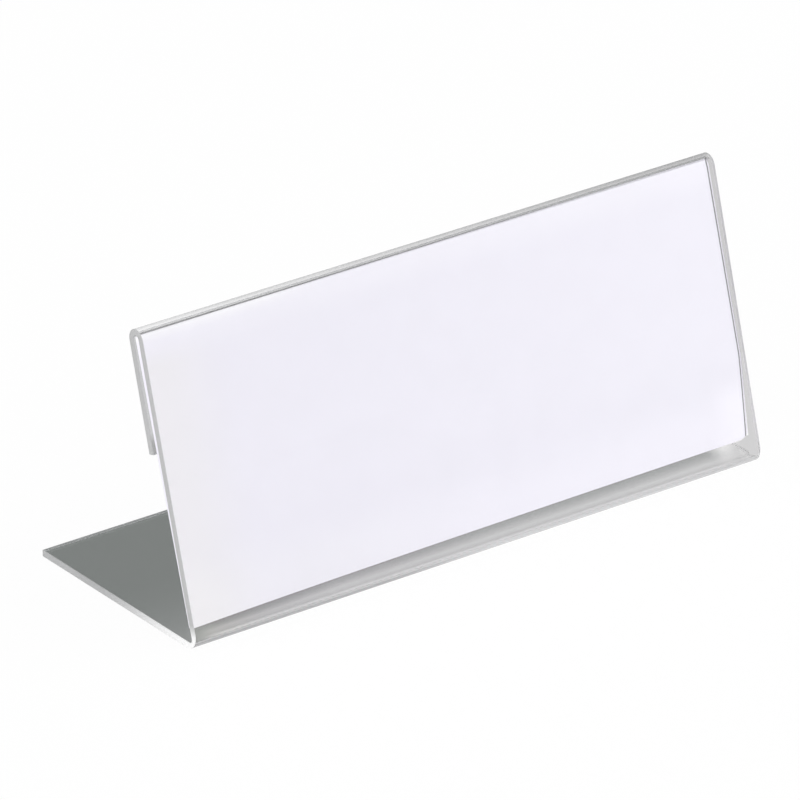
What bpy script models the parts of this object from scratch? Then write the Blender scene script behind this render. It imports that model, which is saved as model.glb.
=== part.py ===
"""Desk name plate: one clear sheet bent into an L, and a white card in its folded channel.

The sheet lies on the desk as a base, turns up at a hot bend into a panel that leans back,
and folds over at the top into a short flap that hangs behind the panel. The card, a strip
folded once at its left edge, stands in the channel between panel and flap. It slides out of
either open end.

Metres, +Z up. The panel faces -Y, the width runs along X, and the origin is the middle of
the footprint, on the desk.
"""

import math

import bmesh
import bpy
from mathutils import Vector

# Sheet: overall sizes
HOLDER_WIDTH = 0.150
SHEET_THICKNESS = 0.0016
BASE_DEPTH = 0.0585
PANEL_ANGLE = math.radians(75.5)
PANEL_LENGTH = 0.0665

# Sheet: the hot bend at the front, drawn thinner because its inner radius is small for its outer one
BEND_OUTER_RADIUS = 0.0034
BEND_INNER_RADIUS = 0.0010

# Sheet: the fold at the top, drawn thinner at its crown, and the flap that springs open a little
FOLD_INNER_RADIUS = 0.0010
FOLD_THINNING = 0.00025
FLAP_LENGTH = 0.025
FLAP_OPENING_ANGLE = math.radians(0.5)

# Sheet: broken edges, and how finely the arcs are cut
EDGE_BREAK = 0.00015
EDGE_BREAK_STEPS = 2
EDGE_BREAK_FROM = math.radians(60.0)
ARC_STEP = math.radians(6.0)
SMOOTH_BELOW = math.radians(30.0)
WELD_DISTANCE = 0.000002

# Card: its two leaves, and the room it has in the channel
LEAF_THICKNESS = 0.00022
LEAF_GAP = 0.0004
LEAF_STEP = 0.0008
CARD_SKEW = math.radians(0.45)
CARD_TOP_CUT = math.radians(0.33)
CARD_LEFT_MARGIN = 0.0005
CARD_RIGHT_MARGIN = 0.00035
CARD_PANEL_GAP = 0.0003
CARD_FOLD_GAP = 0.0001
CARD_LIFT = 0.0010

# Finishes
CLEAR_PLASTIC = {
    "Base Color": (0.78, 0.82, 0.80, 1.0),
    "Roughness": 0.06,
    "Metallic": 0.0,
    "IOR": 1.49,
    "Transmission Weight": 0.8,
}
WHITE_CARD = {
    "Base Color": (0.90, 0.89, 0.94, 1.0),
    "Roughness": 0.65,
    "Metallic": 0.0,
}


def along(angle):
    """Unit vector in the side view, at an angle from the +Y direction."""
    return Vector((math.cos(angle), math.sin(angle)))


def arc(centre, radius, start, end):
    """Points of a circular arc, both ends included."""
    steps = max(2, math.ceil(abs(end - start) / ARC_STEP))
    angles = [start + (end - start) * step / steps for step in range(steps + 1)]
    return [centre + along(angle) * radius for angle in angles]


# Lines, centres and sizes that follow from the ones above
QUARTER_TURN = math.pi / 2
BACK_EDGE = BASE_DEPTH / 2
PANEL_UP = along(PANEL_ANGLE)
PANEL_FRONT = along(PANEL_ANGLE + QUARTER_TURN)
BEND_CENTRE = Vector((BEND_OUTER_RADIUS - BASE_DEPTH / 2, BEND_OUTER_RADIUS))
PANEL_START = BEND_CENTRE + PANEL_FRONT * BEND_OUTER_RADIUS
FOLD_OUTER_RADIUS = FOLD_INNER_RADIUS + SHEET_THICKNESS
FOLD_STATION = PANEL_LENGTH - FOLD_OUTER_RADIUS
FOLD_CENTRE = PANEL_START + PANEL_UP * FOLD_STATION - PANEL_FRONT * FOLD_OUTER_RADIUS
CARD_WIDTH = HOLDER_WIDTH - CARD_LEFT_MARGIN - CARD_RIGHT_MARGIN
CARD_THICKNESS = 2 * LEAF_THICKNESS + LEAF_GAP


def sheet_outline():
    """The bent sheet seen from its end, once round: underside, front, flap, channel, base top."""
    front = PANEL_ANGLE + QUARTER_TURN
    back = PANEL_ANGLE + FLAP_OPENING_ANGLE - QUARTER_TURN
    underside = -QUARTER_TURN

    # The inner bend touches the panel's back and the base's top, whatever its radius
    inset = BEND_OUTER_RADIUS - SHEET_THICKNESS - BEND_INNER_RADIUS
    inner_bend_centre = BEND_CENTRE - Vector((inset / math.tan(PANEL_ANGLE / 2), inset))

    # The inner fold stands a little further up than the outer one
    inner_fold_centre = FOLD_CENTRE + PANEL_UP * FOLD_THINNING

    flap_down = along(PANEL_ANGLE + FLAP_OPENING_ANGLE) * -FLAP_LENGTH
    flap_outer_top = FOLD_CENTRE + along(back) * FOLD_OUTER_RADIUS
    flap_inner_top = FOLD_CENTRE + along(back) * FOLD_INNER_RADIUS

    return [
        Vector((BACK_EDGE, 0.0)),
        *arc(BEND_CENTRE, BEND_OUTER_RADIUS, underside, front - 2 * math.pi),
        *arc(FOLD_CENTRE, FOLD_OUTER_RADIUS, front, back),
        flap_outer_top + flap_down,
        flap_inner_top + flap_down,
        *arc(inner_fold_centre, FOLD_INNER_RADIUS, back, front),
        *arc(inner_bend_centre, BEND_INNER_RADIUS, front, underside + 2 * math.pi),
        Vector((BACK_EDGE, SHEET_THICKNESS)),
    ]


def card_span():
    """Lowest and highest station that the card may reach along the panel, from the bend's end."""
    nearest = abs(CARD_PANEL_GAP - FOLD_INNER_RADIUS)
    farthest = abs(CARD_PANEL_GAP + CARD_THICKNESS - FOLD_INNER_RADIUS)
    off_centre = min(max(nearest, farthest), FOLD_INNER_RADIUS)
    fold_room = math.sqrt(FOLD_INNER_RADIUS ** 2 - off_centre ** 2)
    return CARD_LIFT, FOLD_STATION + FOLD_THINNING + fold_room - CARD_FOLD_GAP


def card_height():
    """Height at the middle of the card, which fills its span when it stands askew."""
    lowest, highest = card_span()
    right_height = (highest - lowest - CARD_WIDTH * math.sin(CARD_SKEW)) / math.cos(CARD_SKEW)
    return right_height + CARD_WIDTH / 2 * math.tan(CARD_TOP_CUT)


def card_outline():
    """The folded card seen from above, about the middle of its front: its fold is on the left."""
    left = -CARD_WIDTH / 2
    rear_end = CARD_WIDTH / 2
    front_end = rear_end - LEAF_STEP
    crease_radius = CARD_THICKNESS / 2
    crease = Vector((left + crease_radius, crease_radius))
    front = -QUARTER_TURN
    rear = front - math.pi
    return [
        Vector((front_end, 0.0)),
        *arc(crease, crease_radius, front, rear),
        Vector((rear_end, CARD_THICKNESS)),
        Vector((rear_end, CARD_THICKNESS - LEAF_THICKNESS)),
        *arc(crease, LEAF_GAP / 2, rear, front),
        Vector((front_end, LEAF_THICKNESS)),
    ]


def finish(name, values):
    """A Principled material with the given socket values."""
    material = bpy.data.materials.new(name)
    material.use_nodes = True
    shader = material.node_tree.nodes["Principled BSDF"]
    for socket, value in values.items():
        shader.inputs[socket].default_value = value
    material.diffuse_color = values["Base Color"]
    return material


def extruded_outline(outline, depth):
    """Mesh of a closed outline, as a filled 2D curve extruded to both sides of its plane."""
    curve = bpy.data.curves.new("outline", "CURVE")
    curve.dimensions = "2D"
    curve.fill_mode = "BOTH"
    curve.extrude = depth / 2
    spline = curve.splines.new("POLY")
    spline.points.add(len(outline) - 1)
    for point, place in zip(spline.points, outline):
        point.co = (place.x, place.y, 0.0, 1.0)
    spline.use_cyclic_u = True

    drawing = bpy.data.objects.new("outline", curve)
    bpy.context.scene.collection.objects.link(drawing)
    evaluated = drawing.evaluated_get(bpy.context.evaluated_depsgraph_get())
    mesh = bpy.data.meshes.new_from_object(evaluated)
    bpy.data.objects.remove(drawing)
    bpy.data.curves.remove(curve)

    welded = bmesh.new()
    welded.from_mesh(mesh)
    bmesh.ops.remove_doubles(welded, verts=welded.verts, dist=WELD_DISTANCE)
    bmesh.ops.recalc_face_normals(welded, faces=welded.faces)
    welded.to_mesh(mesh)
    welded.free()
    mesh.shade_smooth()
    mesh.set_sharp_from_angle(angle=SMOOTH_BELOW)
    return mesh


def add_piece(collection, name, mesh, material):
    """A named object for one piece, with its own material."""
    mesh.name = name
    mesh.materials.clear()
    mesh.materials.append(material)
    piece = bpy.data.objects.new(name, mesh)
    collection.objects.link(piece)
    return piece


def make_holder(collection):
    """The bent sheet, drawn in its side view and extruded along X."""
    mesh = extruded_outline(sheet_outline(), HOLDER_WIDTH)
    holder = add_piece(collection, "holder", mesh, finish("clear_plastic", CLEAR_PLASTIC))
    holder.rotation_euler = (QUARTER_TURN, 0.0, QUARTER_TURN)

    edges = holder.modifiers.new("broken_edges", "BEVEL")
    edges.width = EDGE_BREAK
    edges.segments = EDGE_BREAK_STEPS
    edges.limit_method = "ANGLE"
    edges.angle_limit = EDGE_BREAK_FROM
    return holder


def make_card(collection):
    """The folded card, on an empty that stands in the channel and slides along X."""
    lowest, _ = card_span()
    half_rise = (card_height() * math.cos(CARD_SKEW) + CARD_WIDTH * math.sin(CARD_SKEW)) / 2
    behind_panel = SHEET_THICKNESS + CARD_PANEL_GAP
    middle = PANEL_START + PANEL_UP * (lowest + half_rise) - PANEL_FRONT * behind_panel

    channel = bpy.data.objects.new("card_channel", None)
    channel.location = ((CARD_LEFT_MARGIN - CARD_RIGHT_MARGIN) / 2, middle.x, middle.y)
    channel.rotation_euler = (PANEL_ANGLE - QUARTER_TURN, 0.0, 0.0)
    channel.empty_display_size = SHEET_THICKNESS
    collection.objects.link(channel)

    # The top edge is cut a little out of square, lower on the right
    mesh = extruded_outline(card_outline(), card_height())
    for vertex in mesh.vertices:
        if vertex.co.z > 0.0:
            vertex.co.z -= vertex.co.x * math.tan(CARD_TOP_CUT)
    card = add_piece(collection, "insert_card", mesh, finish("white_card", WHITE_CARD))
    card.parent = channel
    card.rotation_euler = (0.0, -CARD_SKEW, 0.0)
    return card


def main():
    for leftover in list(bpy.data.objects):
        bpy.data.objects.remove(leftover)
    collection = bpy.data.collections.new("desk_name_plate")
    bpy.context.scene.collection.children.link(collection)
    make_holder(collection)
    make_card(collection)


main()
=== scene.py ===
"""Looks of the desk name plate: a bent clear sheet and a folded white card, in a pale studio."""

import math

import bmesh
import bpy
from mathutils import Matrix, Vector


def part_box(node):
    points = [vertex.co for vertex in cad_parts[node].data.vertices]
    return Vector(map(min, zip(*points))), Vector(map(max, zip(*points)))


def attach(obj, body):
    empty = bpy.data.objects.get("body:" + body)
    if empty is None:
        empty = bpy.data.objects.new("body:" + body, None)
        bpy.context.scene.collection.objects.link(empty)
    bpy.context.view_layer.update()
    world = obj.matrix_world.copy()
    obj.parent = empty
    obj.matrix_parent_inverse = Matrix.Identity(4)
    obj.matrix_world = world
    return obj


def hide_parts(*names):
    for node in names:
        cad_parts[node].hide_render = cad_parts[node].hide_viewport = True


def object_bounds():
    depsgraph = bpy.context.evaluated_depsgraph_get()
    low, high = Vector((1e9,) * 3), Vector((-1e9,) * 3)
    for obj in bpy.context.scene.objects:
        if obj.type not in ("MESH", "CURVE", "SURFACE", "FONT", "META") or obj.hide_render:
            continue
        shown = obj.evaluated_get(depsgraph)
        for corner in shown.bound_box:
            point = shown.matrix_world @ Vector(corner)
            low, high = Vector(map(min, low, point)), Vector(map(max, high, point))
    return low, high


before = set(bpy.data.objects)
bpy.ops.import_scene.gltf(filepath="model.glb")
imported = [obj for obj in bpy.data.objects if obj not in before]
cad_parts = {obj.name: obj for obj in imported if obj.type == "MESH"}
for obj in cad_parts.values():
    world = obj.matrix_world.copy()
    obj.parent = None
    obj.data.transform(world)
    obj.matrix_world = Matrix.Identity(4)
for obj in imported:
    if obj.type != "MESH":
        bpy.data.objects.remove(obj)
CAD_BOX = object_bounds()
LOW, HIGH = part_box("holder")
QUARTER_TURN = math.pi / 2

# Photograph: the image's side in pixels, and the camera that its edges give
IMAGE_SIDE = 800
SENSOR_WIDTH = 36.0
FOCAL_PIXELS = 8387.7
CAMERA_AZIMUTH = math.radians(35.025)
CAMERA_ELEVATION = math.radians(25.105)
CAMERA_ROLL = math.radians(-1.228)
CAMERA_DISTANCE = 1.8037
CAMERA_TARGET = Vector((-0.00418, -0.00495, 0.02940))
CAMERA_SIGHT = 50.0

# Sheet: sizes of the bent sheet that its box alone doesn't give
SHEET_THICKNESS = 0.0016
PANEL_ANGLE = math.radians(75.5)
BEND_OUTER_RADIUS = 0.0034
BEND_INNER_RADIUS = 0.0010
FOLD_INNER_RADIUS = 0.0010
FOLD_THINNING = 0.00025
FLAP_LENGTH = 0.025
FLAP_OPENING_ANGLE = math.radians(0.5)
EDGE_BREAK = 0.00015
EDGE_BREAK_STEPS = 3
BROKEN_ABOVE = math.radians(60.0)
ARC_STEP = math.radians(2.0)
SMOOTH_BELOW = math.radians(25.0)

# Sheet: where hot forming left the outside faintly cloudy, with light and shade painted on it, as turns
# from the panel's front
CLOUDY_BEND_FROM = math.radians(31.0)
CLOUDY_BEND_TO = math.radians(90.0)
CLOUDY_FOLD_FROM = math.radians(-58.0)
CLOUDY_FOLD_TO = math.radians(-130.0)
ARC_TOLERANCE = 0.00005

# Sheet: how its cut faces are told from the rest, and up to where the right end is polished clear
CLEAR_END_HEIGHT = 0.0050
END_FACING = 0.9
BACK_FACING = 0.99
TIP_FACING = 0.9999
ALONG_FACING = 0.1

# Card: how far its loose lower part sags away from the panel, and how far it stands off at the top
SAG_DEPTH = 0.0030
SAG_HEIGHT = 0.0215
SAG_REACH = 0.045
SAG_POWER = 1.15
TOP_STAND_OFF = 0.00045
TOP_CLOSING = 0.0003
CARD_CUTS_ACROSS = 36
CARD_CUTS_UP = 30
WELD_DISTANCE = 0.000002

# Card: it reaches a little further up and to both sides than in the CAD, its lower edge isn't
# quite square, and its lower right corner curls up
CREASE_BULGE = 0.00035
RIGHT_REACH = 0.00036
FRONT_LEAF_REACH = 0.00048
TOP_REACH = 0.00028
EDGE_STRETCH = 0.004
LOW_EDGE_LEFT = 0.00010
LOW_EDGE_RIGHT = -0.00050
CORNER_CURL = 0.0010
CORNER_REACH = 0.0036
CORNER_CUTS = 6

# Card: its skew, and the strip of painted shadow along the cut edge of the front leaf
CARD_SKEW = math.radians(0.45)
LEAF_STEP = 0.0008
LEAF_SHADOW_STRIP = 0.00027

# Studio: a floor, soft light from all around and two lamps
FLOOR_SIZE = 12.0
FLOOR_DROP = 0.0003
FLOOR_ALBEDO = 0.92
FLOOR_GLOW = 0.93
WORLD_FRONT = Vector((-0.30, -0.75, 0.55)).normalized()
WORLD_TURN = (-0.5, 0.3)
WORLD_RISE = (0.0, 0.35)
WORLD_FRONT_LEVEL = 1.10
WORLD_BACK_LEVEL = 0.30
WORLD_HORIZON_LEVEL = 1.0
FILL_PLACE = Vector((1.10, -0.50, 0.30))
SIDE_PLACE = Vector((-1.10, -0.35, 0.25))
LAMP_TARGET = Vector((0.0, -0.01, 0.03))
LAMP_SIZE = 0.45
FILL_POWER = 2.4
SIDE_POWER = 2.1
LIGHT_BOUNCES = 24


# Sheet geometry
def along(angle):
    """Unit vector in the side view, at an angle from the +Y direction."""
    return Vector((math.cos(angle), math.sin(angle)))


def arc(centre, radius, start, end):
    """Points of a circular arc, both ends included."""
    steps = max(2, math.ceil(abs(end - start) / ARC_STEP))
    angles = [start + (end - start) * step / steps for step in range(steps + 1)]
    return [centre + along(angle) * radius for angle in angles]


def from_side(point, x=0.0):
    """A point or direction of the side view in space."""
    return Vector((x, point.x, point.y))


# Stations are measured up the panel's front from ORIGIN, depths into the panel from its front
FRONT = PANEL_ANGLE + QUARTER_TURN
BEND = Vector((LOW.y + BEND_OUTER_RADIUS, LOW.z + BEND_OUTER_RADIUS))
FOLD_OUTER_RADIUS = FOLD_INNER_RADIUS + SHEET_THICKNESS
PANEL_START = BEND + along(FRONT) * BEND_OUTER_RADIUS
BEHIND = PANEL_START - along(FRONT) * FOLD_OUTER_RADIUS
FOLD_STATION = (HIGH.z - FOLD_OUTER_RADIUS - BEHIND.y) / math.sin(PANEL_ANGLE)
FOLD = BEHIND + along(PANEL_ANGLE) * FOLD_STATION
ORIGIN = from_side(PANEL_START)
UP_PANEL = from_side(along(PANEL_ANGLE))
INTO_PANEL = -from_side(along(FRONT))


def sheet_outline():
    """The bent sheet seen from its end, as in the CAD, with finer arcs."""
    back = PANEL_ANGLE + FLAP_OPENING_ANGLE - QUARTER_TURN
    underside = -QUARTER_TURN
    inset = BEND_OUTER_RADIUS - SHEET_THICKNESS - BEND_INNER_RADIUS
    inner_bend = BEND - Vector((inset / math.tan(PANEL_ANGLE / 2), inset))
    inner_fold = FOLD + along(PANEL_ANGLE) * FOLD_THINNING
    flap_down = along(PANEL_ANGLE + FLAP_OPENING_ANGLE) * -FLAP_LENGTH
    return [
        Vector((HIGH.y, LOW.z)),
        *arc(BEND, BEND_OUTER_RADIUS, underside, FRONT - 2 * math.pi),
        *arc(FOLD, FOLD_OUTER_RADIUS, FRONT, back),
        FOLD + along(back) * FOLD_OUTER_RADIUS + flap_down,
        FOLD + along(back) * FOLD_INNER_RADIUS + flap_down,
        *arc(inner_fold, FOLD_INNER_RADIUS, back, FRONT),
        *arc(inner_bend, BEND_INNER_RADIUS, FRONT, underside + 2 * math.pi),
        Vector((HIGH.y, LOW.z + SHEET_THICKNESS)),
    ]


def cut_across(shape, place, direction):
    """Cuts all faces of a shape along the plane through a place, square to a direction."""
    everything = shape.verts[:] + shape.edges[:] + shape.faces[:]
    bmesh.ops.bisect_plane(shape, geom=everything, plane_co=place, plane_no=direction)


def turn_on_arc(point, centre, radius):
    """How far round an arc a point of the side view lies, from the panel's front; None off the arc."""
    away = point - centre
    if abs(away.length - radius) > ARC_TOLERANCE:
        return None
    return (math.atan2(away.y, away.x) - FRONT + math.pi) % (2 * math.pi) - math.pi


def is_cloudy(point):
    """Whether a point of the side view lies on the fold's crown or on the bend's lower front."""
    on_bend = turn_on_arc(point, BEND, BEND_OUTER_RADIUS)
    on_fold = turn_on_arc(point, FOLD, FOLD_OUTER_RADIUS)
    if on_bend is not None:
        return CLOUDY_BEND_FROM < on_bend < CLOUDY_BEND_TO
    if on_fold is not None:
        return CLOUDY_FOLD_TO < on_fold < CLOUDY_FOLD_FROM
    return False


def finished_object(name, shape):
    """An object with the shape as its mesh, smooth over its bends and sharp at its edges."""
    mesh = bpy.data.meshes.new(name)
    shape.to_mesh(mesh)
    shape.free()
    mesh.shade_smooth()
    mesh.set_sharp_from_angle(angle=SMOOTH_BELOW)
    piece = bpy.data.objects.new(name, mesh)
    bpy.context.scene.collection.objects.link(piece)
    return piece


def make_sheet():
    """The clear sheet with fine bends; cut edges take the second slot, cloudy arcs the third."""
    outline = sheet_outline()
    shape = bmesh.new()
    ring = [shape.verts.new(from_side(point, LOW.x)) for point in outline]
    end_face = shape.faces.new(ring)
    extruded = bmesh.ops.extrude_face_region(shape, geom=[end_face])
    moved = [item for item in extruded["geom"] if isinstance(item, bmesh.types.BMVert)]
    bmesh.ops.translate(shape, verts=moved, vec=(HIGH.x - LOW.x, 0.0, 0.0))
    bmesh.ops.recalc_face_normals(shape, faces=shape.faces)
    cut_across(shape, (0.0, 0.0, CLEAR_END_HEIGHT), (0.0, 0.0, 1.0))
    shape.normal_update()

    # Cut faces: the ends, the base's back edge and the flap's lower edge, but not the base's right end
    flap_down = -from_side(along(PANEL_ANGLE + FLAP_OPENING_ANGLE))
    for face in shape.faces:
        middle = face.calc_center_median()
        at_left = face.normal.x < -END_FACING
        at_right = face.normal.x > END_FACING and middle.z > CLEAR_END_HEIGHT
        at_back = face.normal.y > BACK_FACING and middle.z < SHEET_THICKNESS
        at_tip = face.normal.dot(flap_down) > TIP_FACING and middle.z < HIGH.z - FLAP_LENGTH
        if at_left or at_right or at_back or at_tip:
            face.material_index = 1
        elif abs(face.normal.x) < ALONG_FACING and is_cloudy(Vector((middle.y, middle.z))):
            face.material_index = 2

    sheet = finished_object("holder_sheet", shape)
    edges = sheet.modifiers.new("broken_edges", "BEVEL")
    edges.width = EDGE_BREAK
    edges.segments = EDGE_BREAK_STEPS
    edges.limit_method = "ANGLE"
    edges.angle_limit = BROKEN_ABOVE
    edges.material = 1
    return sheet


# Card geometry
def fading_share(distance, reach):
    """A share that falls evenly from 1 at no distance to 0 at the reach, and stays 0 beyond."""
    return max(0.0, 1.0 - distance / reach)


def bow_card(shape, low, high, leaf_divide):
    """Moves the card's points as a loose paper card bows, sags and curls."""
    for vertex in shape.verts:
        from_left = vertex.co.x - low.x
        from_right = high.x - vertex.co.x
        station = (vertex.co - ORIGIN).dot(UP_PANEL)
        rear = (vertex.co - ORIGIN).dot(INTO_PANEL) > leaf_divide
        loose = 1.0 - math.exp(-from_left / SAG_REACH)
        below = fading_share(station, SAG_HEIGHT)
        above = max(0.0, station - SAG_HEIGHT) / (FOLD_STATION - SAG_HEIGHT)
        away = SAG_DEPTH * below ** SAG_POWER + (TOP_STAND_OFF - TOP_CLOSING * rear) * above
        share = from_left / (high.x - low.x)
        rise = (LOW_EDGE_LEFT * (1.0 - share) + LOW_EDGE_RIGHT * share) * below
        rise += TOP_REACH * fading_share(FOLD_STATION - station, EDGE_STRETCH)
        rise += CORNER_CURL * below * fading_share(from_right, CORNER_REACH) ** 2
        vertex.co += INTO_PANEL * away * loose + UP_PANEL * rise
        vertex.co.x -= CREASE_BULGE * fading_share(from_left, EDGE_STRETCH)
        right_reach = RIGHT_REACH + FRONT_LEAF_REACH * above * (not rear)
        vertex.co.x += right_reach * fading_share(from_right, EDGE_STRETCH)


def make_card():
    """The folded card of the CAD, cut into a grid and bowed; its strip of painted shadow takes the second
    slot.
    """
    shape = bmesh.new()
    shape.from_mesh(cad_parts["insert_card"].data)
    bmesh.ops.remove_doubles(shape, verts=shape.verts, dist=WELD_DISTANCE)
    low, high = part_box("insert_card")
    for step in range(1, CARD_CUTS_ACROSS):
        x = low.x + (high.x - low.x) * step / CARD_CUTS_ACROSS
        cut_across(shape, (x, 0.0, 0.0), (1.0, 0.0, 0.0))
    for step in range(1, CORNER_CUTS):
        cut_across(shape, (high.x - CORNER_REACH * step / CORNER_CUTS, 0.0, 0.0), (1.0, 0.0, 0.0))
    for step in range(1, CARD_CUTS_UP):
        cut_across(shape, ORIGIN + UP_PANEL * FOLD_STATION * step / CARD_CUTS_UP, UP_PANEL)

    # Strip of painted shadow: beside the cut edge of the front leaf
    card_across = Vector((1.0, 0.0, 0.0)) * math.cos(CARD_SKEW) + UP_PANEL * math.sin(CARD_SKEW)
    rear_edge = max(vertex.co.dot(card_across) for vertex in shape.verts)
    strip_start = rear_edge - LEAF_STEP - LEAF_SHADOW_STRIP
    cut_across(shape, card_across * strip_start, card_across)
    depths = [(vertex.co - ORIGIN).dot(INTO_PANEL) for vertex in shape.verts]
    leaf_divide = (min(depths) + max(depths)) / 2
    for face in shape.faces:
        middle = face.calc_center_median()
        in_front = (middle - ORIGIN).dot(INTO_PANEL) < leaf_divide
        at_edge = middle.dot(card_across) > strip_start
        face.material_index = 1 if in_front and at_edge else 0

    bow_card(shape, low, high, leaf_divide)
    return finished_object("card_paper", shape)


# Node helpers: a Mix node's colour sockets go by number, because its other sockets share their names
MIX_COLOURS = (6, 7)
MIX_RESULT = 2


def new_material(name):
    """A material, its node tree and its Principled shader."""
    material = bpy.data.materials.new(name)
    material.use_nodes = True
    return material, material.node_tree, material.node_tree.nodes["Principled BSDF"]


def add_node(tree, kind, **settings):
    """A node of the given kind, with its properties set."""
    node = tree.nodes.new(kind)
    for key, value in settings.items():
        setattr(node, key, value)
    return node


def object_place(tree):
    """The place on the object, and its parts along X, Y and Z."""
    place = add_node(tree, "ShaderNodeTexCoord").outputs["Object"]
    parts = add_node(tree, "ShaderNodeSeparateXYZ")
    tree.links.new(place, parts.inputs[0])
    return place, *parts.outputs


def math_node(tree, operation, first, second=0.0):
    """A Math node's output; first and second are sockets or numbers."""
    node = add_node(tree, "ShaderNodeMath", operation=operation)
    for socket, value in zip(node.inputs, (first, second)):
        if isinstance(value, bpy.types.NodeSocket):
            tree.links.new(value, socket)
        else:
            socket.default_value = value
    return node.outputs[0]


def product(tree, *masks):
    """All the masks multiplied together."""
    result = masks[0]
    for mask in masks[1:]:
        result = math_node(tree, "MULTIPLY", result, mask)
    return result


def ramp_between(tree, value, limits, levels=(0.0, 1.0), straight=False):
    """Goes from one level to the other as value goes between the limits, smoothly or straight."""
    kind = "LINEAR" if straight else "SMOOTHSTEP"
    node = add_node(tree, "ShaderNodeMapRange", interpolation_type=kind)
    tree.links.new(value, node.inputs["Value"])
    for name, number in zip(("From Min", "From Max", "To Min", "To Max"), (*limits, *levels)):
        node.inputs[name].default_value = number
    return node.outputs["Result"]


def mix_colour(tree, factor, first, second):
    """A Mix node's colour output; factor is a socket, the colours are triples or sockets."""
    node = add_node(tree, "ShaderNodeMix", data_type="RGBA")
    tree.links.new(factor, node.inputs["Factor"])
    for number, value in zip(MIX_COLOURS, (first, second)):
        if isinstance(value, bpy.types.NodeSocket):
            tree.links.new(value, node.inputs[number])
        else:
            node.inputs[number].default_value = (*value, 1.0)
    return node.outputs[MIX_RESULT]


def noise(tree, vector, scale, detail=2.0, roughness=0.5):
    """A Noise texture's value output."""
    node = add_node(tree, "ShaderNodeTexNoise")
    tree.links.new(vector, node.inputs["Vector"])
    node.inputs["Scale"].default_value = scale
    node.inputs["Detail"].default_value = detail
    node.inputs["Roughness"].default_value = roughness
    return node.outputs["Fac"]


def stretched(tree, place, factors):
    """A place multiplied by a factor along each axis."""
    node = add_node(tree, "ShaderNodeVectorMath", operation="MULTIPLY")
    tree.links.new(place, node.inputs[0])
    node.inputs[1].default_value = factors
    return node.outputs["Vector"]


def scaled_colour(tree, colour, factor):
    """A colour, socket or triple, multiplied by a factor socket."""
    node = add_node(tree, "ShaderNodeVectorMath", operation="SCALE")
    if isinstance(colour, bpy.types.NodeSocket):
        tree.links.new(colour, node.inputs[0])
    else:
        node.inputs[0].default_value = colour
    tree.links.new(factor, node.inputs["Scale"])
    return node.outputs["Vector"]


def bump(tree, height, distance):
    """A Bump node's normal output for a height between 0 and 1 that is so many metres tall."""
    node = add_node(tree, "ShaderNodeBump")
    node.inputs["Distance"].default_value = distance
    tree.links.new(height, node.inputs["Height"])
    return node.outputs["Normal"]


def dot_from(tree, place, origin, axis):
    """How far a place lies from an origin along an axis."""
    node = add_node(tree, "ShaderNodeVectorMath", operation="DOT_PRODUCT")
    tree.links.new(place, node.inputs[0])
    node.inputs[1].default_value = axis
    return math_node(tree, "SUBTRACT", node.outputs["Value"], origin.dot(axis))


# Materials: what they share; pairs of limits go from where a mask is 0 to where it is 1
PLASTIC_IOR = 1.49
STRAIGHT_THROUGH = (0.990, 0.991, 0.991)
NOISE_MIDDLE = (0.3, 0.7)
WHOLE_WIDTH = (LOW.x, HIGH.x)


def let_light_through(tree, shader):
    """Lamps and soft light go straight through the plastic, so that they reach the card and the floor."""
    rays = add_node(tree, "ShaderNodeLightPath")
    straight = add_node(tree, "ShaderNodeBsdfTransparent")
    straight.inputs["Color"].default_value = (*STRAIGHT_THROUGH, 1.0)
    surface = shader.outputs[0]
    for kind in ("Is Diffuse Ray", "Is Shadow Ray"):
        mix = add_node(tree, "ShaderNodeMixShader")
        tree.links.new(rays.outputs[kind], mix.inputs["Fac"])
        tree.links.new(surface, mix.inputs[1])
        tree.links.new(straight.outputs[0], mix.inputs[2])
        surface = mix.outputs[0]
    tree.links.new(surface, tree.nodes["Material Output"].inputs["Surface"])


# Window over the card: painted shade, darker at the left, and more neutral beside the left end
WINDOW_SHADED_LEFT = (0.942, 0.940, 0.946)
WINDOW_LIT_RIGHT = (1.000, 0.998, 1.000)
WINDOW_POWER = 1.4
WINDOW_BESIDE_END = (0.946, 0.945, 0.908)
BESIDE_LEFT_END = (LOW.x + 0.0220, LOW.x + 0.0020)
BELOW_FOLD = (0.0630, 0.0570)


def window_painted_shade(tree, across, station):
    """Painted shade in the panel where the card stands behind it, darker at the left."""
    to_right = ramp_between(tree, across, WHOLE_WIDTH, straight=True)
    rightmost = math_node(tree, "POWER", to_right, WINDOW_POWER)
    colour = mix_colour(tree, rightmost, WINDOW_SHADED_LEFT, WINDOW_LIT_RIGHT)
    left_side = product(
        tree,
        ramp_between(tree, across, BESIDE_LEFT_END),
        ramp_between(tree, station, BELOW_FOLD),
    )
    return mix_colour(tree, left_side, colour, WINDOW_BESIDE_END)


# Front margins: painted shade on the clear front, right of the card's edge, and under the card where the
# base ends
MARGIN_LOWER_SHADE = (0.415, 0.412, 0.417)
MARGIN_UPPER_SHADE = (0.340, 0.337, 0.343)
MARGIN_DARKENS = (0.015, 0.045)
MARGIN_EDGE = 0.07365
MARGIN_BLUR = 0.0001
MARGIN_LEAN = 0.00030
MARGIN_SLANT = 0.0016
MARGIN_TOP = 0.0028
MARGIN_TOP_BLUR = 0.0002
MARGIN_LIFT = 0.0006
MARGIN_LIFT_FROM = 0.0700
MARGIN_UNDER_CARD = (MARGIN_EDGE - 0.0100, MARGIN_EDGE - 0.0030)
OUTER_FACE = (0.0014, 0.0010)

# Front margins: less painted shade left of the line where the base's right end shows through
MARGIN_LESS_SHADE = (0.570, 0.567, 0.572)
BASE_END_SEEN = 0.0706
BASE_END_SLANT = 0.9
BASE_END_BLUR = 0.0006
BASE_BEHIND_STATIONS = (0.0022, 0.0004)
BASE_BEHIND_STARTS = (0.0680, 0.0700)


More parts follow.
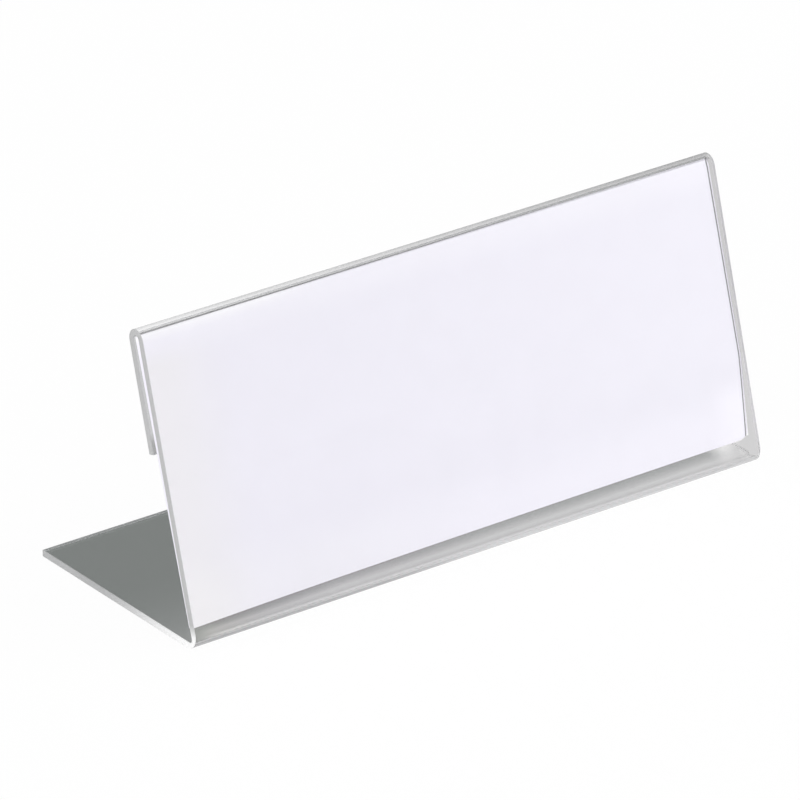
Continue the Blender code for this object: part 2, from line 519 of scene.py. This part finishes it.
def margin_mask(tree, across, station, depth):
    """Where the front is a margin."""
    above_sag = ramp_between(tree, station, (SAG_HEIGHT, FOLD_STATION), (0.0, MARGIN_LEAN), straight=True)
    below_sag = ramp_between(tree, station, (SAG_HEIGHT, 0.0), (0.0, MARGIN_SLANT), straight=True)
    beside = math_node(tree, "ADD", math_node(tree, "ADD", across, above_sag), below_sag)
    right = ramp_between(tree, beside, (MARGIN_EDGE - MARGIN_BLUR, MARGIN_EDGE + MARGIN_BLUR))
    lift_limits = (MARGIN_LIFT_FROM, MARGIN_EDGE - MARGIN_SLANT)
    lifted = ramp_between(tree, across, lift_limits, (0.0, MARGIN_LIFT))
    lowered_station = math_node(tree, "SUBTRACT", station, lifted)
    under = product(
        tree,
        ramp_between(tree, lowered_station, (MARGIN_TOP + MARGIN_TOP_BLUR, MARGIN_TOP - MARGIN_TOP_BLUR)),
        ramp_between(tree, across, MARGIN_UNDER_CARD),
    )
    outer_face = ramp_between(tree, depth, OUTER_FACE)
    return product(tree, math_node(tree, "MAXIMUM", right, under), outer_face)


def margin_painted_shade(tree, across, station):
    """Painted shade in the front's margins, darker higher up."""
    colour = mix_colour(tree, ramp_between(tree, station, MARGIN_DARKENS), MARGIN_LOWER_SHADE, MARGIN_UPPER_SHADE)
    slanting = math_node(tree, "ADD", across, math_node(tree, "MULTIPLY", station, BASE_END_SLANT))
    before_base = product(
        tree,
        ramp_between(tree, slanting, (BASE_END_SEEN + BASE_END_BLUR, BASE_END_SEEN - BASE_END_BLUR)),
        ramp_between(tree, station, BASE_BEHIND_STATIONS),
        ramp_between(tree, across, BASE_BEHIND_STARTS),
    )
    return mix_colour(tree, before_base, colour, MARGIN_LESS_SHADE)


# Flap: painted shade, darker towards its lower edge
FLAP_SHADE = (0.600, 0.605, 0.605)
FLAP_TIP_SHADE = (0.400, 0.402, 0.402)
FLAP_DEPTHS = (0.0030, 0.0034)
FLAP_STATIONS = (0.030, 0.032)
FLAP_TIP_STATIONS = (0.0440, 0.0405)

# Inside of the fold's crown, above the card: painted shade of the gap there
FOLD_INSIDE_SHADE = (0.39, 0.391, 0.395)
FOLD_INSIDE_DEPTHS = (0.0013, 0.0015)
FOLD_INSIDE_STARTS = (FOLD_STATION + 0.0008, FOLD_STATION + 0.0011)
FOLD_INSIDE_ENDS = (FOLD_STATION + 0.0018, FOLD_STATION + 0.0016)


def flap_mask(tree, station, depth):
    """Where the sheet is the flap."""
    return product(
        tree,
        ramp_between(tree, depth, FLAP_DEPTHS),
        ramp_between(tree, station, FLAP_STATIONS),
    )


def fold_inside_mask(tree, station, depth):
    """Where the sheet is the inside of the fold's crown."""
    return product(
        tree,
        ramp_between(tree, depth, FOLD_INSIDE_DEPTHS),
        ramp_between(tree, station, FOLD_INSIDE_STARTS),
        ramp_between(tree, station, FOLD_INSIDE_ENDS),
    )


# Base: painted shade, even behind with a painted shadow under the card, paler and then clearer towards the
# bend, clear at its right front corner
BASE_EVEN_SHADE = (0.214, 0.230, 0.2225)
BASE_PALER_SHADE = (0.308, 0.321, 0.318)
BASE_SHADOW_UNDER_CARD = (0.236, 0.233, 0.245)
BASE_CLEARER = (0.780, 0.773, 0.783)
BASE_HEIGHTS = (0.0026, 0.0018)
BASE_FRONT = LOW.y + 0.0042
BASE_PALES = (0.0040, BASE_FRONT)
PALING_POWER = 2.0
BASE_CLEARS = (-0.0110, BASE_FRONT)
CLEARING_SIDE = (LOW.x + 0.0005, LOW.x + 0.0090)
STEEPNESS_SIDE = (LOW.x + 0.005, LOW.x + 0.042)
STEEPNESS = (8.2, 3.3)
UNDER_CARD_BACK = (-0.0165, -0.0200)
UNDER_CARD_LEFT = (-0.0690, -0.0640)
UNDER_CARD_RIGHT = (0.0150, -0.0250)
CLEAR_CORNER_SIDE = (HIGH.x - 0.0090, HIGH.x - 0.0020)
CLEAR_CORNER_BACK = (-0.0060, -0.0140)


def base_mask(tree, across, back, height):
    """Where the sheet is the base, apart from its clear right front corner."""
    clear_corner = product(
        tree,
        ramp_between(tree, across, CLEAR_CORNER_SIDE),
        ramp_between(tree, back, CLEAR_CORNER_BACK),
    )
    return product(
        tree,
        ramp_between(tree, height, BASE_HEIGHTS),
        math_node(tree, "SUBTRACT", 1.0, clear_corner),
    )


def base_painted_shade(tree, across, back):
    """Painted shade in the base, with a painted shadow under the card."""
    paler = math_node(tree, "POWER", ramp_between(tree, back, BASE_PALES, straight=True), PALING_POWER)
    colour = mix_colour(tree, paler, BASE_EVEN_SHADE, BASE_PALER_SHADE)
    shadow_under_card = product(
        tree,
        ramp_between(tree, back, UNDER_CARD_BACK),
        ramp_between(tree, across, UNDER_CARD_LEFT),
        ramp_between(tree, across, UNDER_CARD_RIGHT),
    )
    colour = mix_colour(tree, shadow_under_card, colour, BASE_SHADOW_UNDER_CARD)
    near_bend = ramp_between(tree, back, BASE_CLEARS, straight=True)
    steepness = ramp_between(tree, across, STEEPNESS_SIDE, STEEPNESS, straight=True)
    clearing = product(
        tree,
        math_node(tree, "POWER", near_bend, steepness),
        ramp_between(tree, across, CLEARING_SIDE),
    )
    return mix_colour(tree, clearing, colour, BASE_CLEARER)


# Clear surface: handling haze in patches, and the faint waves of a cast sheet
HAZE_SCALE = 55.0
HAZE_LIMITS = (0.45, 0.75)
HAZE_ROUGHNESS = (0.004, 0.014)
WAVE_SCALE = 70.0
WAVE_HEIGHT = 0.000004


def clear_plastic():
    """Clear sheet with painted shade: greyer where one looks into the base, the flap, the fold's inside
    and the front's margins.
    """
    material, tree, shader = new_material("clear_plastic")
    place, across, back, height = object_place(tree)
    station = dot_from(tree, place, ORIGIN, UP_PANEL)
    depth = dot_from(tree, place, ORIGIN, INTO_PANEL)

    flap_tip = ramp_between(tree, station, FLAP_TIP_STATIONS)
    colour = window_painted_shade(tree, across, station)
    for mask, tint in (
        (margin_mask(tree, across, station, depth), margin_painted_shade(tree, across, station)),
        (flap_mask(tree, station, depth), mix_colour(tree, flap_tip, FLAP_SHADE, FLAP_TIP_SHADE)),
        (fold_inside_mask(tree, station, depth), FOLD_INSIDE_SHADE),
        (base_mask(tree, across, back, height), base_painted_shade(tree, across, back)),
    ):
        colour = mix_colour(tree, mask, colour, tint)
    tree.links.new(colour, shader.inputs["Base Color"])
    shader.inputs["Transmission Weight"].default_value = 1.0
    shader.inputs["IOR"].default_value = PLASTIC_IOR

    haze = noise(tree, place, HAZE_SCALE, detail=4.0, roughness=0.6)
    tree.links.new(ramp_between(tree, haze, HAZE_LIMITS, HAZE_ROUGHNESS), shader.inputs["Roughness"])
    waves = noise(tree, place, WAVE_SCALE, detail=1.0)
    tree.links.new(bump(tree, waves, WAVE_HEIGHT), shader.inputs["Normal"])
    let_light_through(tree, shader)
    return material


# Cut edges: grey along the ends, with painted shade low down and painted light: whiter near the bend, and
# paler where they are seen from inside
EDGE_TINT = (0.465, 0.469, 0.471)
EDGE_LOW_SHADE = (0.430, 0.434, 0.436)
EDGE_PAINTED_GLOW = (0.93, 0.932, 0.932)
EDGE_INSIDE_PAINTED_LIGHT = (0.80, 0.802, 0.802)
EDGE_INSIDE_RIGHT_PAINTED_LIGHT = (0.97, 0.972, 0.972)
EDGE_WHITENS = (0.0080, BEND.x)
EDGE_LOW_HEIGHTS = (0.0065, 0.0025)
AT_RIGHT_END = (HIGH.x - 0.0010, HIGH.x - 0.0004)
EDGE_TRANSMISSION = 0.1

# Cut edges: saw marks as fine streaks across the sheet's thickness, which polishing left in patches
SAW_STRETCH = (6000.0, 1800.0, 1800.0)
SAW_SHADE = (0.95, 1.03)
SAW_HEIGHT = 0.000006
POLISH_SCALE = 140.0
POLISH_LIMITS = (0.35, 0.65)
POLISH_ROUGHNESS = (0.30, 0.48)


def cut_edge():
    """Polished cut edges: pale grey, with painted light, whiter near the bend, where light comes out of
    the sheet, and paler seen from inside.
    """
    material, tree, shader = new_material("cut_edge")
    place, across, back, height = object_place(tree)
    near_bend = ramp_between(tree, height, EDGE_LOW_HEIGHTS)
    painted_glow = product(tree, ramp_between(tree, back, EDGE_WHITENS), near_bend)
    colour = mix_colour(tree, near_bend, EDGE_TINT, EDGE_LOW_SHADE)
    colour = mix_colour(tree, painted_glow, colour, EDGE_PAINTED_GLOW)
    # Painted light: cut faces seen from inside the sheet are paler
    inside = add_node(tree, "ShaderNodeNewGeometry").outputs["Backfacing"]
    right_end = ramp_between(tree, across, AT_RIGHT_END)
    inside_painted_light = mix_colour(tree, right_end, EDGE_INSIDE_PAINTED_LIGHT, EDGE_INSIDE_RIGHT_PAINTED_LIGHT)
    colour = mix_colour(tree, inside, colour, inside_painted_light)

    streaks = noise(tree, stretched(tree, place, SAW_STRETCH), 1.0, detail=3.0, roughness=0.65)
    colour = scaled_colour(tree, colour, ramp_between(tree, streaks, NOISE_MIDDLE, SAW_SHADE))
    tree.links.new(colour, shader.inputs["Base Color"])
    shader.inputs["Transmission Weight"].default_value = EDGE_TRANSMISSION
    shader.inputs["IOR"].default_value = PLASTIC_IOR
    polish = noise(tree, place, POLISH_SCALE, detail=3.0)
    tree.links.new(ramp_between(tree, polish, POLISH_LIMITS, POLISH_ROUGHNESS), shader.inputs["Roughness"])
    tree.links.new(bump(tree, streaks, SAW_HEIGHT), shader.inputs["Normal"])
    let_light_through(tree, shader)
    return material


# Cloudy bends, painted light and shade: a painted highlight at the fold's left that darkens to the right;
# the bend is darker at both ends, most of all low at the left
FOLD_LEFT_HIGHLIGHT = (0.92, 0.922, 0.925)
FOLD_RIGHT_SHADE = (0.465, 0.467, 0.470)
FOLD_HEIGHTS = (0.030, 0.040)
BEND_LEFT_SHADE = (0.51, 0.511, 0.515)
BEND_MIDDLE_SHADE = (0.64, 0.642, 0.644)
BEND_RIGHT_SHADE = (0.58, 0.581, 0.583)
BEND_LOW_SHADE = (0.37, 0.371, 0.374)
LEFT_HALF = (LOW.x, 0.0)
BEND_RIGHT_SIDE = (0.0450, 0.0600)
BEND_LOW_HEIGHTS = (0.0022, 0.0016)
BEND_LOW_SIDE = (0.0060, -0.0300)
CLOUDY_TRANSMISSION = 0.2

# Cloudy bends: flow lines as faint streaks along the fold
FLOW_STRETCH = (40.0, 1500.0, 1500.0)
FLOW_SHADE = (0.96, 1.03)
FLOW_ROUGHNESS = (0.10, 0.20)
FLOW_HEIGHT = 0.000004


def cloudy_bend_painted_light():
    """Crown of the fold and lower front of the bend: faintly cloudy, with painted light and shade, palest
    at the fold's left.
    """
    material, tree, shader = new_material("cloudy_bend_painted_light")
    place, across, _, height = object_place(tree)
    to_middle = ramp_between(tree, across, LEFT_HALF, straight=True)
    bend_colour = mix_colour(tree, to_middle, BEND_LEFT_SHADE, BEND_MIDDLE_SHADE)
    at_right = ramp_between(tree, across, BEND_RIGHT_SIDE)
    bend_colour = mix_colour(tree, at_right, bend_colour, BEND_RIGHT_SHADE)
    shaded_low_front = product(
        tree,
        ramp_between(tree, height, BEND_LOW_HEIGHTS),
        ramp_between(tree, across, BEND_LOW_SIDE),
    )
    bend_colour = mix_colour(tree, shaded_low_front, bend_colour, BEND_LOW_SHADE)
    to_right = ramp_between(tree, across, WHOLE_WIDTH, straight=True)
    fold_colour = mix_colour(tree, to_right, FOLD_LEFT_HIGHLIGHT, FOLD_RIGHT_SHADE)
    colour = mix_colour(tree, ramp_between(tree, height, FOLD_HEIGHTS), bend_colour, fold_colour)

    streaks = noise(tree, stretched(tree, place, FLOW_STRETCH), 1.0, detail=3.0, roughness=0.6)
    colour = scaled_colour(tree, colour, ramp_between(tree, streaks, NOISE_MIDDLE, FLOW_SHADE))
    tree.links.new(colour, shader.inputs["Base Color"])
    shader.inputs["Transmission Weight"].default_value = CLOUDY_TRANSMISSION
    shader.inputs["IOR"].default_value = PLASTIC_IOR
    tree.links.new(ramp_between(tree, streaks, NOISE_MIDDLE, FLOW_ROUGHNESS), shader.inputs["Roughness"])
    tree.links.new(bump(tree, streaks, FLOW_HEIGHT), shader.inputs["Normal"])
    let_light_through(tree, shader)
    return material


# Paper: fibres and clouds
FIBRE_STRETCH = (900.0, 900.0, 2600.0)
FIBRE_SHADE = (0.992, 1.006)
FIBRE_HEIGHT = 0.000012
CLOUD_SCALE = 130.0
CLOUD_SHADE = (0.993, 1.005)
PAPER_ROUGHNESS = (0.64, 0.76)


def paper_detail(tree, shader, place, colour):
    """Fibres and clouds of paper, as faint shade and bump over a colour."""
    fibres = noise(tree, stretched(tree, place, FIBRE_STRETCH), 1.0, detail=5.0, roughness=0.6)
    clouds = noise(tree, place, CLOUD_SCALE)
    fibre_shade = ramp_between(tree, fibres, NOISE_MIDDLE, FIBRE_SHADE)
    cloud_shade = ramp_between(tree, clouds, NOISE_MIDDLE, CLOUD_SHADE)
    shaded = scaled_colour(tree, colour, product(tree, fibre_shade, cloud_shade))
    tree.links.new(shaded, shader.inputs["Base Color"])
    tree.links.new(ramp_between(tree, clouds, NOISE_MIDDLE, PAPER_ROUGHNESS), shader.inputs["Roughness"])
    tree.links.new(bump(tree, fibres, FIBRE_HEIGHT), shader.inputs["Normal"])


# Card: white with a faint violet cast, and painted light: a little paler under the fold, at its upper
# left, along its lower edge and at its lower right corner
CARD_WHITE = (0.797, 0.781, 0.857)
CARD_LIT_NEAR_FOLD = (0.828, 0.814, 0.882)
CARD_LIT_UPPER_LEFT = (0.885, 0.876, 0.915)
CARD_LIT_LOW_LEFT = (0.811, 0.797, 0.857)
CARD_LIT_LOW = (0.834, 0.817, 0.892)
CARD_LIT_LOW_CORNER = (0.868, 0.852, 0.925)
LEAF_GAP_SHADOW = (0.195, 0.191, 0.204)
NEAR_FOLD = (0.0570, 0.0640)
UPPER_LEFT_SIDE = (-0.0270, -0.0450)
UPPER_LEFT_STATIONS = (0.0628, 0.0646)
NEAR_LOWER_EDGE = (0.0170, 0.0050)
LOWER_EDGE_SIDE = (-0.0450, 0.0100)
LOW_CORNER_STATIONS = (0.0170, 0.0100)
LOW_CORNER_SIDE = (0.0640, 0.0710)


def painted_leaf_shadow():
    """Painted shadow along the front leaf's cut edge, as of the gap between the leaves."""
    material, tree, shader = new_material("painted_leaf_shadow")
    place = object_place(tree)[0]
    paper_detail(tree, shader, place, LEAF_GAP_SHADOW)
    return material


def white_card():
    """White card with painted light, paler where the fold and the base throw light on it."""
    material, tree, shader = new_material("white_card")
    place, across, _, _ = object_place(tree)
    station = dot_from(tree, place, ORIGIN, UP_PANEL)
    colour = mix_colour(tree, ramp_between(tree, station, NEAR_FOLD), CARD_WHITE, CARD_LIT_NEAR_FOLD)
    lit_upper_left = product(
        tree,
        ramp_between(tree, across, UPPER_LEFT_SIDE),
        ramp_between(tree, station, UPPER_LEFT_STATIONS),
    )
    colour = mix_colour(tree, lit_upper_left, colour, CARD_LIT_UPPER_LEFT)
    lit_low_colour = mix_colour(tree, ramp_between(tree, across, LOWER_EDGE_SIDE), CARD_LIT_LOW_LEFT, CARD_LIT_LOW)
    colour = mix_colour(tree, ramp_between(tree, station, NEAR_LOWER_EDGE), colour, lit_low_colour)
    lit_low_corner = product(
        tree,
        ramp_between(tree, station, LOW_CORNER_STATIONS),
        ramp_between(tree, across, LOW_CORNER_SIDE),
    )
    colour = mix_colour(tree, lit_low_corner, colour, CARD_LIT_LOW_CORNER)
    paper_detail(tree, shader, place, colour)
    return material


# Studio
def pale_floor():
    """Pale floor that looks nearly white to the camera and through the plastic, with a trace of shadow."""
    material = bpy.data.materials.new("pale_floor")
    material.use_nodes = True
    tree = material.node_tree
    tree.nodes.clear()
    rays = add_node(tree, "ShaderNodeLightPath")
    seen = math_node(tree, "MAXIMUM", rays.outputs["Is Camera Ray"], rays.outputs["Is Glossy Ray"])
    seen = math_node(tree, "MAXIMUM", seen, rays.outputs["Is Transmission Ray"])
    share = math_node(tree, "MULTIPLY", seen, FLOOR_GLOW)
    lit = add_node(tree, "ShaderNodeBsdfDiffuse")
    lit.inputs["Color"].default_value = (FLOOR_ALBEDO, FLOOR_ALBEDO, FLOOR_ALBEDO, 1.0)
    glow = add_node(tree, "ShaderNodeEmission")
    mix = add_node(tree, "ShaderNodeMixShader")
    tree.links.new(share, mix.inputs["Fac"])
    tree.links.new(lit.outputs[0], mix.inputs[1])
    tree.links.new(glow.outputs[0], mix.inputs[2])
    output = add_node(tree, "ShaderNodeOutputMaterial")
    tree.links.new(mix.outputs[0], output.inputs["Surface"])
    return material


def make_floor():
    """A wide floor just under the base."""
    mesh = bpy.data.meshes.new("floor")
    shape = bmesh.new()
    bmesh.ops.create_grid(shape, x_segments=1, y_segments=1, size=FLOOR_SIZE / 2)
    shape.to_mesh(mesh)
    shape.free()
    floor = bpy.data.objects.new("floor", mesh)
    floor.location.z = CAD_BOX[0][2] - FLOOR_DROP
    bpy.context.scene.collection.objects.link(floor)
    floor.data.materials.append(pale_floor())


def make_world():
    """Soft light that is strong from the front and above, and weak from behind."""
    world = bpy.data.worlds.new("studio")
    world.use_nodes = True
    bpy.context.scene.world = world
    tree = world.node_tree
    background = tree.nodes["Background"]
    direction = add_node(tree, "ShaderNodeTexCoord").outputs["Generated"]
    towards = add_node(tree, "ShaderNodeVectorMath", operation="DOT_PRODUCT")
    tree.links.new(direction, towards.inputs[0])
    towards.inputs[1].default_value = WORLD_FRONT
    turn_levels = (WORLD_BACK_LEVEL, WORLD_FRONT_LEVEL)
    level = ramp_between(tree, towards.outputs["Value"], WORLD_TURN, turn_levels)
    parts = add_node(tree, "ShaderNodeSeparateXYZ")
    tree.links.new(direction, parts.inputs[0])
    rise_levels = (WORLD_HORIZON_LEVEL, WORLD_FRONT_LEVEL)
    ceiling = ramp_between(tree, parts.outputs["Z"], WORLD_RISE, rise_levels)
    level = math_node(tree, "MINIMUM", level, ceiling)
    tree.links.new(level, background.inputs["Strength"])
    background.inputs["Color"].default_value = (1.0, 1.0, 1.0, 1.0)


def make_lamp(name, place, power):
    """A soft square lamp that looks at the name plate."""
    data = bpy.data.lights.new(name, "AREA")
    data.size = LAMP_SIZE
    data.energy = power
    lamp = bpy.data.objects.new(name, data)
    lamp.location = place
    lamp.rotation_euler = (place - LAMP_TARGET).to_track_quat("Z", "Y").to_euler()
    bpy.context.scene.collection.objects.link(lamp)


def make_camera():
    """The photograph's camera."""
    data = bpy.data.cameras.new("camera")
    data.sensor_width = SENSOR_WIDTH
    data.lens = SENSOR_WIDTH * FOCAL_PIXELS / IMAGE_SIDE
    data.clip_end = CAMERA_SIGHT
    camera = bpy.data.objects.new("camera", data)
    level = math.cos(CAMERA_ELEVATION)
    away = Vector((
        -math.sin(CAMERA_AZIMUTH) * level,
        -math.cos(CAMERA_AZIMUTH) * level,
        math.sin(CAMERA_ELEVATION),
    ))
    turn = away.to_track_quat("Z", "Y").to_matrix().to_4x4()
    place = Matrix.Translation(CAMERA_TARGET + away * CAMERA_DISTANCE)
    camera.matrix_world = place @ turn @ Matrix.Rotation(CAMERA_ROLL, 4, "Z")
    bpy.context.scene.collection.objects.link(camera)
    bpy.context.scene.camera = camera


make_camera()
make_world()
make_lamp("fill", FILL_PLACE, FILL_POWER)
make_lamp("side", SIDE_PLACE, SIDE_POWER)
make_floor()

sheet = make_sheet()
sheet.data.materials.append(clear_plastic())
sheet.data.materials.append(cut_edge())
sheet.data.materials.append(cloudy_bend_painted_light())
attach(sheet, "holder")
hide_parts("holder")

card = make_card()
card.data.materials.append(white_card())
card.data.materials.append(painted_leaf_shadow())
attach(card, "card")
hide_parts("insert_card")

bpy.context.scene.view_settings.view_transform = "Standard"
bpy.context.scene.cycles.max_bounces = LIGHT_BOUNCES
bpy.context.scene.cycles.transmission_bounces = LIGHT_BOUNCES
bpy.context.scene.cycles.glossy_bounces = LIGHT_BOUNCES
